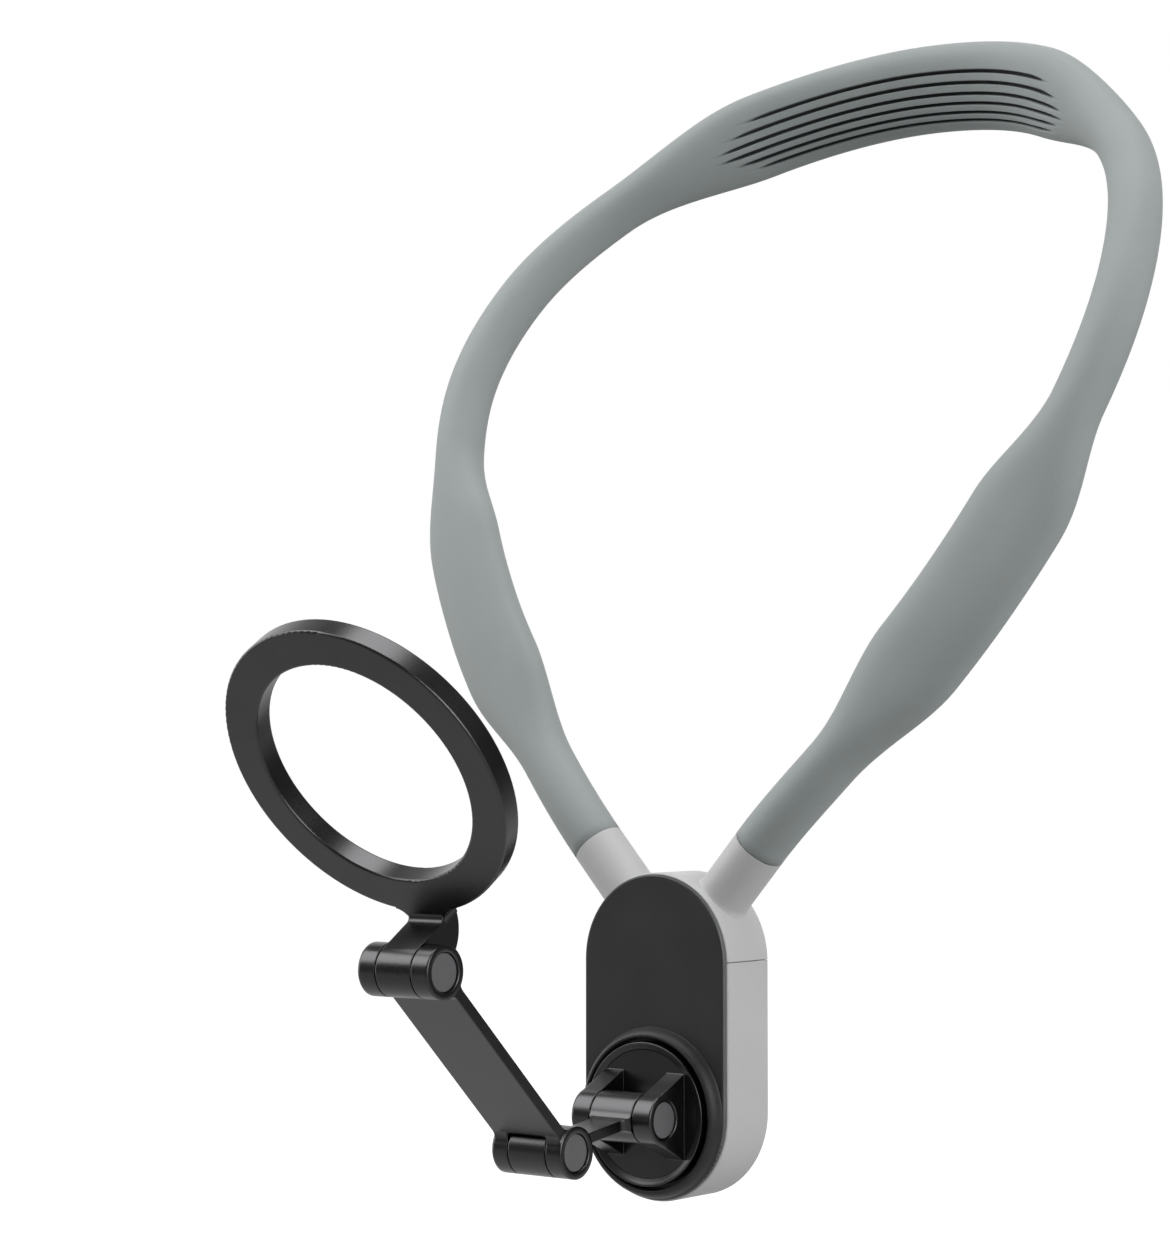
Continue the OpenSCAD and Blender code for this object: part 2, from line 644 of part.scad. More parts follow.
module long_link() color([0.16, 0.16, 0.17]) worn() at_axis(mid_axis, long_rise) difference() {
    union() {
        difference() {
            across(long_w) translate([0, -long_t/2]) square([long_len, long_t]);
            swing_slot(mid_knuckle_w);
            translate([0, 0, long_len]) swing_slot(ring_knuckle_w);
        }
        link_end(mid_knuckle_w);
        translate([0, 0, long_len]) rotate([0, 180, 0]) link_end(ring_knuckle_w);
    }
    for (z = [0, long_len]) translate([0, 0, z]) hinge_bores(link_hinge_w);
}

// Repeats a piece at both hinges of the long link
module at_link_hinges() at_axis(mid_axis, long_rise) for (z = [0, long_len]) translate([0, 0, z])
    children();
module link_bolts() color([0.45, 0.45, 0.47]) worn() at_link_hinges() hinge_bolt(link_hinge_w);
module link_nuts() color([0.6, 0.6, 0.62]) worn() at_link_hinges() hinge_nut(link_hinge_w);
module link_caps() color([0.3, 0.3, 0.31]) worn() at_link_hinges() hinge_caps(link_hinge_w);
module link_washers() color([0.85, 0.85, 0.83]) worn() at_axis(mid_axis, long_rise) {
    hinge_washers(mid_knuckle_w);
    translate([0, 0, long_len]) hinge_washers(ring_knuckle_w);
}

// The neck under the ring in side view: knuckle, shelf and rounded heel
module neck_profile() {
    bend = atan2(-heel[1], -heel[0]) - acos((heel_r - knuckle_r)/norm(heel));
    circle(knuckle_r);
    intersection() {
        union() {
            translate(heel) circle(heel_r);
            polygon([[0, 0], heel, heel + heel_r*[cos(bend), sin(bend)], knuckle_r*[cos(bend), sin(bend)]]);
        }
        translate([neck_back, -heel_r]) square([-neck_back, heel_r + knuckle_r]);
    }
    difference() {
        translate([ring_face - fuse, knuckle_r - fuse]) square(neck_blend_r + fuse);
        translate([ring_face, knuckle_r] + (neck_blend_r - root_sink)*[1, 1]) circle(neck_blend_r);
    }
}

// The neck seen from the front, with rounded corners where it meets the ring
module neck_plan() {
    x = ring_knuckle_w/2 + ring_web_r;
    y = ring_rise - sqrt(pow(ring_r + ring_web_r, 2) - x*x);
    middle = (ring_r + ring_in_d/2)/2/(ring_r + ring_web_r);
    difference() {
        polygon([[-x, y], [x, y], [x*middle, ring_rise - (ring_rise - y)*middle],
            [-x*middle, ring_rise - (ring_rise - y)*middle]]);
        for (side = [-1, 1]) translate([side*x, y]) circle(ring_web_r);
    }
}

// Puts a piece on the ring's centre, at a height above the ring's back
module in_ring(z) at_axis(ring_axis, -ring_lean_angle) translate([0, ring_rise, ring_back + z]) children();

module ring_frame() color([0.16, 0.16, 0.17]) worn() difference() {
    union() {
        in_ring(0) rotate_extrude() translate([ring_in_d/2, 0])
            rounded_box(ring_r - ring_in_d/2, ring_t, ring_edge_r);
        at_axis(ring_axis, -ring_lean_angle) {
            translate([0, 0, neck_back]) linear_extrude(ring_face - neck_back) neck_plan();
            across(ring_knuckle_w) neck_profile();
        }
    }
    in_ring(-over) tube(2*(ring_r - rim_w), ring_in_d + 2*rim_w, over + soft_seat);
    in_ring(-over) tube(magnet_out_d + 2*magnet_fit, magnet_in_d - 2*magnet_fit, over + stack_depth);
    at_axis(ring_axis, -ring_lean_angle) axle(-link_hinge_w/2, link_hinge_w/2, bolt_d + 2*bolt_fit);
}

module steel_ring() color([0.6, 0.6, 0.62]) worn() in_ring(stack_depth - steel_t)
    tube(magnet_out_d, magnet_in_d, steel_t);

module magnet_arcs() color([0.7, 0.7, 0.72]) worn() in_ring(soft_seat + magnet_play) difference() {
    tube(magnet_out_d, magnet_in_d, magnet_t);
    for (i = [0:magnet_count - 1]) rotate([0, 0, (i + 0.5)*360/magnet_count])
        translate([0, -magnet_split/2, -over]) cube([magnet_out_d, magnet_split, magnet_t + 2*over]);
}

module ring_pad() color([0.2, 0.2, 0.21]) worn() in_ring(-soft_proud)
    tube(2*(ring_r - rim_w - soft_fit), ring_in_d + 2*(rim_w + soft_fit), soft_t);

module core_ferrules() color([0.6, 0.6, 0.62]) worn() difference() {
    on_collars(socket_foot) tube(ferrule_d, core_d + 2*crimp_fit, ferrule_len);
    on_collars(socket_foot + ferrule_len - set_screw_inset) rotate([-90, 0, 0])
        translate([0, 0, ferrule_d/2 - set_screw_bite]) cylinder(h = tube_d, d = set_screw_d);
}

module ferrule_screws() color([0.3, 0.3, 0.32]) worn()
    on_collars(socket_foot + ferrule_len - set_screw_inset) rotate([-90, 0, 0]) difference() {
        translate([0, 0, ferrule_d/2 - set_screw_bite])
            cylinder(h = (tube_d - ferrule_d)/2 + set_screw_bite - set_screw_sink, d = set_screw_d);
        translate([0, 0, tube_d/2 - set_screw_sink - set_key_depth])
            cylinder(h = set_key_depth + over, d = set_screw_d*set_key_share, $fn = 6);
    }

// The core runs straight through ferrules and collars, and along the loop between them
module neck_core() color([0.45, 0.46, 0.47]) worn() {
    first = stations[0];
    last = stations[len(stations) - 1];
    foot = (sleeve_start - socket_foot)*collar_dir;
    all = concat([[first[0] - foot, first[1], first[2]]], stations,
        [[last[0] - flip(foot), last[1], last[2]]]);
    polyhedron([for (s = all) each loop_points(s, core_d/2, core_d/2, core_sides)],
        concat(skin(0, len(all), core_sides, true), [[for (j = [core_sides - 1:-1:0]) j]],
            [[for (j = [0:core_sides - 1]) (len(all) - 1)*core_sides + j]]), convexity = 6);
}

// The silicone sleeve: a tube with three wide pads, moulded round a bore for the core
module neck_sleeve() color([0.6, 0.64, 0.62]) worn() {
    grow = 1/cos(180/sleeve_sides);
    bore_r = (core_d/2 + core_fit)*grow;
    count = len(stations);
    inner = count*sleeve_sides;
    end = (count - 1)*sleeve_sides;
    polyhedron(concat([for (s = stations) each loop_points(s, s[3]*grow, s[4]*grow, sleeve_sides)],
        [for (s = stations) each loop_points(s, bore_r, bore_r, sleeve_sides)]),
        concat(skin(0, count, sleeve_sides, true), skin(inner, count, sleeve_sides, false),
            flat_rim(0, inner, sleeve_sides, true), flat_rim(end, inner + end, sleeve_sides, false)),
        convexity = 6);
}

neck_sleeve();
neck_core();
core_ferrules();
ferrule_screws();
yoke_shell();
lower_shell();
front_plate();
bezel_ring();
case_screws();
disc_spring();
turntable();
spindle_washer();
spindle_screw();
base_bolt();
base_nut();
base_caps();
base_washers();
short_link();
long_link();
link_bolts();
link_nuts();
link_caps();
link_washers();
ring_frame();
steel_ring();
magnet_arcs();
ring_pad();
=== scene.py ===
import math

import bmesh
import bpy
import numpy as np
from mathutils import Matrix, Vector


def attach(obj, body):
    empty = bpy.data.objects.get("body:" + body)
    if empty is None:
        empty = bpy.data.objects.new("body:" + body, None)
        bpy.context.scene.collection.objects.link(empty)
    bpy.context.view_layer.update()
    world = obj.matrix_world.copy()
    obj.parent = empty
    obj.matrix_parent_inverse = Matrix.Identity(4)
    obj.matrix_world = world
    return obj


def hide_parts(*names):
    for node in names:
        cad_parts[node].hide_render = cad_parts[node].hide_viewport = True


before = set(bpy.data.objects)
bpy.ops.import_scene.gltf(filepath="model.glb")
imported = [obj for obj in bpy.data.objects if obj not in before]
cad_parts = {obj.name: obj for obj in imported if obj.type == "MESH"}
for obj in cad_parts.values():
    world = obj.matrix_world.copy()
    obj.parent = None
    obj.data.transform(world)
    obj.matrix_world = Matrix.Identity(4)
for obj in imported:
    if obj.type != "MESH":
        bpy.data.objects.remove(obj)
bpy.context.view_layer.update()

# Neck core: a drawn soft steel rod that the wearer bends to the neck. A zinc-plated ferrule is
# crimped on each end, and two black set screws hold the ferrules in the collars' sockets.
MM = 0.001
STREAK, PATCH, SCRATCH_DEPTH = 0.9 * MM, 4 * MM, 0.012 * MM
STREAK_SHARE = 0.6
PATCH_POLISH, STREAK_POLISH = 0.25, 0.12
DRAWN = (1, 1, 0.25)
EDGE_SAMPLES = 16


class Wire:
    """A socket of a node tree. Maths on it adds Math nodes, and node() adds any other node."""

    def __init__(self, tree, socket):
        self.tree, self.socket = tree, socket

    def node(self, kind, settings, inputs, output=0):
        """The output of a new node with these settings. A list of wires feeds one input."""
        made = self.tree.nodes.new(kind)
        for name, value in settings.items():
            setattr(made, name, value)
        for name, value in inputs.items():
            for each in value if isinstance(value, list) else [value]:
                if isinstance(each, Wire):
                    self.tree.links.new(each.socket, made.inputs[name])
                else:
                    made.inputs[name].default_value = each
        return Wire(self.tree, made.outputs[output])

    def maths(self, operation, *values):
        return self.node("ShaderNodeMath", {"operation": operation},
                         dict(enumerate((self, *values))))

    def __add__(self, other):
        return self.maths("ADD", other)

    __radd__ = __add__

    def __sub__(self, other):
        return self.maths("SUBTRACT", other)

    def __rsub__(self, other):
        return self.maths("MULTIPLY_ADD", -1.0, other)

    def __mul__(self, other):
        return self.maths("MULTIPLY", other)

    __rmul__ = __mul__

    def vector_maths(self, operation, other=None, output=0):
        return self.node("ShaderNodeVectorMath", {"operation": operation},
                         {0: self} if other is None else {0: self, 1: other}, output)

    def band(self, low, high):
        """0 below low, 1 above high, and smooth in between."""
        return self.node("ShaderNodeMapRange", {"interpolation_type": "SMOOTHSTEP"},
                         {"Value": self, "From Min": low, "From Max": high})

    def about(self, spread):
        """Noise from 0 to 1, turned to half of spread below and above 0."""
        return (self - 0.5) * spread

    def mixed(self, other, share):
        """This wire by its share, and another by the rest."""
        return self * share + other * (1 - share)

    def shade(self, low, high):
        """A colour that goes from low to high, each numbers or a wire, with this wire."""
        low, high = (end if isinstance(end, Wire) else (*end, 1) for end in (low, high))
        return self.node("ShaderNodeMix", {"data_type": "RGBA"},
                         {"Factor": self, 6: low, 7: high}, 2)

    def grain(self, size, detail=2.0, stretch=(1, 1, 1)):
        """Noise whose marks are about size metres, longer along an axis with a small stretch."""
        across = self.node("ShaderNodeMapping", {}, {"Vector": self, "Scale": stretch})
        return self.node("ShaderNodeTexNoise", {},
                         {"Vector": across, "Scale": 1 / size, "Detail": detail})

    def edge_rounded(self, radius, samples=EDGE_SAMPLES):
        """The surface's normal with its edges rounded to a radius."""
        return self.node("ShaderNodeBevel", {"samples": samples}, {"Radius": radius})

    def bump(self, depth, edge=0.0):
        """A Normal with this height standing depth metres high, and edges rounded to a radius."""
        inputs = {"Height": self, "Distance": depth, "Strength": 1.0}
        if edge:
            inputs["Normal"] = self.edge_rounded(edge)
        return self.node("ShaderNodeBump", {}, inputs)


def new_finish(name, **constants):
    """A material whose shader has these constants, and the wire of the object's coordinates."""
    material = bpy.data.materials.new(name)
    material.use_nodes = True
    shader = material.node_tree.nodes["Principled BSDF"]
    for socket, value in constants.items():
        shader.inputs[socket.replace("_", " ")].default_value = value
    place = material.node_tree.nodes.new("ShaderNodeTexCoord").outputs["Object"]
    return material, Wire(material.node_tree, place)


def feed(material, **wires):
    """Links wires to the sockets of a finish's shader."""
    for socket, wire in wires.items():
        shader = material.node_tree.nodes["Principled BSDF"]
        material.node_tree.links.new(wire.socket, shader.inputs[socket.replace("_", " ")])


def plain_metal(name, dark, light, rough, stretch=(1, 1, 1)):
    """Bare or plated metal: streaks in its colour and polish, and faint scratches."""
    material, place = new_finish(name, Metallic=1.0)
    streak = place.grain(STREAK, 3.0, stretch)
    patch = place.grain(PATCH)
    feed(material, Base_Color=streak.mixed(patch, STREAK_SHARE).shade(dark, light),
         Roughness=rough + patch.about(PATCH_POLISH) + streak.about(STREAK_POLISH),
         Normal=streak.bump(SCRATCH_DEPTH))
    return material


def wears(material, *nodes):
    """Gives CAD nodes a finish."""
    for node in nodes:
        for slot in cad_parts[node].material_slots:
            slot.material = material


drawn_steel = plain_metal("drawn_steel", (0.33, 0.34, 0.35), (0.48, 0.49, 0.5), 0.42, DRAWN)
zinc_plate = plain_metal("zinc_plate", (0.5, 0.51, 0.53), (0.68, 0.68, 0.69), 0.34)
black_oxide = plain_metal("black_oxide", (0.035, 0.035, 0.038), (0.075, 0.075, 0.08), 0.42)
wears(drawn_steel, "neck_core")
wears(zinc_plate, "core_ferrules")
wears(black_oxide, "ferrule_screws")

# Silicone sleeve: one long tube moulded in soft grey-green silicone rubber and drawn over the
# core. It widens to two flat pads on the collarbones and a nape pad with six tapered grooves.
CASE_HALF, CASE_D = 14.2, 13.65
COLLAR_TURN = math.radians(48.4)
COLLAR_TOP = 28.65
LOOP_HALF_W, LOOP_RISE, LOOP_REACH = 77.2, 160.3, 86.8
# Centre line from a collar to the nape, as shares of the half width, the rise and the reach
LOOP_SHARES = ((0.509, 0.141, 0.049), (0.742, 0.287, 0.118), (0.915, 0.443, 0.211),
               (1, 0.601, 0.343), (0.963, 0.742, 0.519), (0.82, 0.853, 0.705),
               (0.587, 0.933, 0.853), (0.315, 0.984, 0.972), (0, 1, 1))
TUBE_D, PAD_T, NAPE_PAD_W, BONE_PAD_W, BORE_D = 10.3, 9.2, 18.6, 18.9, 4.84
# Pads: middle, half length and run-out as shares of the way from a collar to the nape
NAPE_PAD, BONE_PAD = (1, 0.17, 0.155), (0.23, 0.058, 0.093)
# The pads' faces turn from the nape's way to the chest's below this share, over this length
TURN_START, TURN_LENGTH = 0.731, 0.409
NAPE_LOOK, CHEST_LOOK = (0, -0.34, 0.94), (-0.25, -0.25, -0.93)
END_ROUND = 0.4
SQUARENESS = 0.35
# Grooves of the nape pad: place as a share of the half width, and their start and end in
# millimetres along the loop from the pad's middle. The cuts are columns of the mesh across one.
GROOVES = ((0.423, -47, 42.5), (0.165, -52, 47), (-0.085, -55, 50.5), (-0.31, -56, 51),
           (-0.525, -53, 47.5), (-0.712, -50, 43.5))
GROOVE_HALF_W, GROOVE_DEPTH, GROOVE_RUN_OUT = 0.44, 1.4, 9.5
GROOVE_END_SHARE = 0.5
GROOVE_CUTS = (-1.25, -1, -0.85, -0.65, -0.4, 0, 0.4, 0.65, 0.85, 1, 1.25)
# Rings of the mesh on a tube end and on the nape pad, which starts at this knot
TUBE_RINGS, NAPE_RINGS, NAPE_START = 100, 240, 5.6
BORE_STEP = 6
# Columns of the mesh on the pads' face, sides and back
FACE_COLUMNS, FACE_SHARE, COLUMN_GAP = 29, 0.94, 0.03
SIDE_COLUMNS, BACK_COLUMNS = 8, 36
SKIN_GRAIN, SKIN_BLOOM, SKIN_RELIEF = 0.32 * MM, 16 * MM, 0.008 * MM
SKIN_DARK, SKIN_LIGHT = (0.27, 0.302, 0.299), (0.362, 0.394, 0.39)
# Painted shade in the grooves: this dark colour comes in over this range of the grooves' depth,
# standing in for the shade in them.
GROOVE_PAINTED_SHADE, GROOVE_SHADING = (0.035, 0.04, 0.04), (0.1, 0.55)
LENGTH_STEPS = 2000


def worn(points):
    """Millimetres on the bench, x right, y up, z forward, to metres as the part is worn."""
    return np.stack([points[..., 0], -points[..., 2], points[..., 1]], -1) * MM


def eased(x):
    x = np.clip(x, 0, 1)
    return x * x * (3 - 2 * x)


def unit(vectors):
    return vectors / np.linalg.norm(vectors, axis=-1, keepdims=True)


collar_way = np.array([math.cos(COLLAR_TURN), math.sin(COLLAR_TURN), 0])
collar_foot = np.array([0, CASE_HALF, CASE_D / 2])
collar_end = collar_foot + COLLAR_TOP * collar_way
half_knots = [collar_end] + [np.array([x * LOOP_HALF_W, collar_end[1] + y * LOOP_RISE,
                                       collar_end[2] - z * LOOP_REACH]) for x, y, z in LOOP_SHARES]
lead_in = half_knots[1] - 2 * np.linalg.norm(half_knots[1] - collar_end) * collar_way
other_side = np.array([-1, 1, 1])
knots = np.array([lead_in] + half_knots + [knot * other_side for knot in half_knots[-2::-1]]
                 + [lead_in * other_side])
spans = len(knots) - 3
nape_at = spans / 2


def sleeve_stations(at):
    """Places along the loop, the sleeve's width and inward directions, half sizes and padding."""
    first = np.minimum(np.floor(at).astype(int), spans - 1)
    t = (at - first)[:, None]
    a, b, c, d = (knots[first + k] for k in range(4))
    slope, bend, twist = c - a, 2 * a - 5 * b + 4 * c - d, 3 * b - a - 3 * c + d
    place = b + (slope + (bend + twist * t) * t) * t / 2
    along = unit(slope + (2 * bend + 3 * twist * t) * t)
    share = 1 - np.abs(at - nape_at) / nape_at
    side = np.where(at < nape_at, 1.0, -1.0)[:, None]
    none = side * 0
    turn = eased((TURN_START - share) / TURN_LENGTH)[:, None]
    chest_look = np.hstack([side * CHEST_LOOK[0], none + CHEST_LOOK[1], none + CHEST_LOOK[2]])
    look = ((1 - turn) ** 2 * np.array(NAPE_LOOK) + turn ** 2 * chest_look
            + 2 * turn * (1 - turn) * np.hstack([-side, none, none]))
    inside = unit(look - (look * along).sum(1, keepdims=True) * along)
    nape, bone = (eased(1 - (np.abs(share - middle) - half) / run_out)
                  for middle, half, run_out in (NAPE_PAD, BONE_PAD))
    half_w = (TUBE_D + nape * (NAPE_PAD_W - TUBE_D) + bone * (BONE_PAD_W - TUBE_D)) / 2
    half_t = (TUBE_D + (nape + bone) * (PAD_T - TUBE_D)) / 2
    return place, np.cross(along, inside), inside, half_w, half_t, nape + bone


def from_nape(at):
    """Length along the loop from the middle of the nape pad, in millimetres."""
    fine = np.linspace(0, spans, LENGTH_STEPS)
    steps = np.linalg.norm(np.diff(sleeve_stations(fine)[0], axis=0), axis=1)
    length = np.concatenate([[0], np.cumsum(steps)])
    return np.interp(at, fine, length) - np.interp(nape_at, fine, length)


def grooved(width_share, half_w, length):
    """Depth of the nape pad's grooves, which grow shallow and narrow towards their ends."""
    depth = np.zeros_like(width_share)
    for share, start, end in GROOVES:
        run = np.minimum(eased((length - start) / GROOVE_RUN_OUT),
                         eased((end - length) / GROOVE_RUN_OUT))[:, None]
        groove_half_w = GROOVE_HALF_W * (GROOVE_END_SHARE + (1 - GROOVE_END_SHARE) * run)
        off = np.abs(width_share - share) * half_w[:, None] / groove_half_w
        depth += GROOVE_DEPTH * run * (1 - np.clip(off, 0, 1) ** 3)
    return depth


def tube_faces(first, count, sides, outside):
    """Quads between neighbouring rings of a tube, seen from outside or from inside it."""
    j = np.arange(sides)
    quads = []
    for ring in range(first, first + (count - 1) * sides, sides):
        a, b = ring + j, ring + (j + 1) % sides
        corners = [a, a + sides, b + sides, b] if outside else [a, b, b + sides, a + sides]
        quads.append(np.stack(corners, 1))
    return np.concatenate(quads)


def mesh_piece(name, points, faces, material):
    """A smooth mesh object from points in metres and faces."""
    mesh = bpy.data.meshes.new(name)
    mesh.from_pydata(np.asarray(points).tolist(), [], [list(map(int, face)) for face in faces])
    mesh.materials.append(material)
    for face in mesh.polygons:
        face.use_smooth = True
    piece = bpy.data.objects.new(name, mesh)
    bpy.context.scene.collection.objects.link(piece)
    return piece


def silicone_finish():
    """Soft silicone: matt skin with a fine moulded grain, a faint bloom, and painted shade that
    darkens the grooves by their depth.
    """
    material, place = new_finish("soft_silicone", Specular_IOR_Level=0.32, Sheen_Weight=0.12,
                                 Sheen_Roughness=0.5)
    grain, bloom = place.grain(SKIN_GRAIN, 3.0), place.grain(SKIN_BLOOM)
    groove = place.node("ShaderNodeAttribute", {"attribute_name": "groove"}, {}, 2)
    skin = grain.mixed(bloom, 0.45).shade(SKIN_DARK, SKIN_LIGHT)
    # Painted shade: the colour darkens with the grooves' depth.
    feed(material, Base_Color=groove.band(*GROOVE_SHADING).shade(skin, GROOVE_PAINTED_SHADE),
         Roughness=0.6 + bloom.about(0.18) + grain.about(0.1), Normal=grain.bump(SKIN_RELIEF))
    return material


nape_end = spans - NAPE_START
sleeve_at = np.concatenate([np.linspace(0, NAPE_START, TUBE_RINGS)[:-1],
                            np.linspace(NAPE_START, nape_end, NAPE_RINGS)[:-1],
                            np.linspace(nape_end, spans, TUBE_RINGS)])
place, widthways, inside, half_w, half_t, padding = sleeve_stations(sleeve_at)
power = (2 / (2 + SQUARENESS * padding))[:, None]
groove_shares = np.concatenate([share + GROOVE_HALF_W / (NAPE_PAD_W / 2) * np.array(GROOVE_CUTS)
                                for share, _, _ in GROOVES])
between = [share for share in np.linspace(-FACE_SHARE, FACE_SHARE, FACE_COLUMNS)
           if np.abs(groove_shares - share).min() > COLUMN_GAP]
shares = np.sort(np.concatenate([groove_shares, between]))[::-1]
face_turns = np.arccos(np.sign(shares) * np.abs(shares) ** (1 + SQUARENESS / 2))
turns = np.concatenate([
    np.linspace(0, face_turns[0], SIDE_COLUMNS, endpoint=False), face_turns,
    np.linspace(math.pi, face_turns[-1], SIDE_COLUMNS, endpoint=False)[::-1],
    np.linspace(math.pi, 2 * math.pi, BACK_COLUMNS, endpoint=False)[1:]])
cosines, sines = np.cos(turns), np.sin(turns)
across_share = np.sign(cosines) * np.abs(cosines) ** power
through_share = np.sign(sines) * np.abs(sines) ** power
sink = grooved(across_share, half_w, from_nape(sleeve_at)) * (through_share > 0)
out = unit(np.stack([across_share / half_w[:, None], through_share / half_t[:, None]], -1))
x = across_share * half_w[:, None] - sink * out[..., 0]
z = through_share * half_t[:, None] - sink * out[..., 1]
skin = place[:, None] + x[..., None] * widthways[:, None] + z[..., None] * inside[:, None]
bore_rows = np.unique(np.append(np.arange(0, len(sleeve_at), BORE_STEP), len(sleeve_at) - 1))
bore = (place[bore_rows, None]
        + BORE_D / 2 * (cosines[None, :, None] * widthways[bore_rows, None]
                        + sines[None, :, None] * inside[bore_rows, None]))
ends = []
for row, neighbour in ((0, 1), (-1, -2)):
    way = unit(place[row] - place[neighbour])
    skin[row] -= way * END_ROUND
    rim = skin[row] - place[row] + way * END_ROUND
    ends.append(place[row] + rim * (1 - END_ROUND / (TUBE_D / 2)))
skin = np.concatenate([ends[0][None], skin, ends[1][None]])
sides = len(turns)
outer, inner = len(skin) * sides, len(bore) * sides
j = np.arange(sides)
k = (j + 1) % sides
last, bore_last = outer - sides, outer + inner - sides
sleeve_faces = np.concatenate([
    tube_faces(0, len(skin), sides, True), tube_faces(outer, len(bore), sides, False),
    np.stack([j, k, outer + k, outer + j], 1),
    np.stack([last + j, bore_last + j, bore_last + k, last + k], 1)])
sleeve = mesh_piece("sleeve", worn(np.concatenate([skin.reshape(-1, 3), bore.reshape(-1, 3)])),
                    sleeve_faces, silicone_finish())
# The grooves' depth as a share, which the silicone's colour reads for its painted shade.
groove_depth = np.zeros(len(sleeve.data.vertices))
groove_depth[sides:sides + sink.size] = sink.ravel() / GROOVE_DEPTH
sleeve.data.attributes.new("groove", "FLOAT", "POINT").data.foreach_set("value", groove_depth)
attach(sleeve, "housing")
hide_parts("neck_sleeve")

# Casing: two shells moulded in light grey plastic, with the collars on the upper one. They meet
# at a hairline seam and are held to the front plate's posts by five small screws from the back.
MOULD_CLOUD, CLOUD_POLISH, GRAIN_POLISH = 11 * MM, 0.15, 0.12
# Painted highlight on edges that face sideways: samples for its rounded normal, and the range of
# sideways facing over which it comes in
MOULD_EDGE, HIGHLIGHT_SAMPLES, HIGHLIGHT_SIDEWAYS = 0.15 * MM, 12, (0.35, 0.95)


def moulded(name, dark, light, rough, grain_size, relief, edge=MOULD_EDGE, painted_highlight=None,
            **constants):
    """Moulded plastic: even colour, a fine spark-eroded grain and a slightly uneven polish. Its
    edges that face sideways may get a painted highlight: a lighter colour that stands in for light
    reflected on the rounded edge."""
    material, place = new_finish(name, **constants)
    grain, cloud = place.grain(grain_size), place.grain(MOULD_CLOUD)
    colour = grain.mixed(cloud, 0.5).shade(dark, light)
    # Painted highlight: edges that face sideways are coloured lighter, standing in for light
    # reflected on the rounded edge.
    if painted_highlight:
        facing = place.edge_rounded(edge, HIGHLIGHT_SAMPLES)
        sideways = facing.node("ShaderNodeSeparateXYZ", {}, {"Vector": facing}).maths("ABSOLUTE")
        colour = sideways.band(*HIGHLIGHT_SIDEWAYS).shade(colour, painted_highlight)
    feed(material, Base_Color=colour,
         Roughness=rough + cloud.about(CLOUD_POLISH) + grain.about(GRAIN_POLISH),
         Normal=grain.bump(relief, edge))
    return material


shell_grey = moulded("shell_grey", (0.5, 0.505, 0.5), (0.6, 0.605, 0.6), 0.48, 0.28 * MM,
                     0.006 * MM, Specular_IOR_Level=0.4)
wears(shell_grey, "yoke_shell", "lower_shell")

# Case screws: five zinc-plated pan-head screws with cross recesses, sunk in the shells' backs and
# driven into the front plate's posts.
SCREW_PLACES = ((0, 25.605), (11.75, 9), (-11.75, 9), (8.354, -23.159), (-8.354, -23.159))
SCREW_TIP, SCREW_R, SCREW_LENGTH, SCREW_SIDES = 7.45, 1.7, 7.3, 40
# Section of the screw as shares of its head's radius and its length, from the tip to the head
SCREW_SECTION = ((0.41, 0), (0.53, 0.035), (0.53, 0.89), (1, 0.89), (1, 0.945), (0.985, 0.962),
                 (0.94, 0.979), (0.86, 0.992), (0.74, 1))
CROSS_LENGTH, CROSS_WIDTH, CROSS_DEPTH = 2.1, 0.52, 0.6
# Edges that fold more sharply than this stay sharp
FOLD = math.radians(35)
MERGE_SHARE = 1e-5


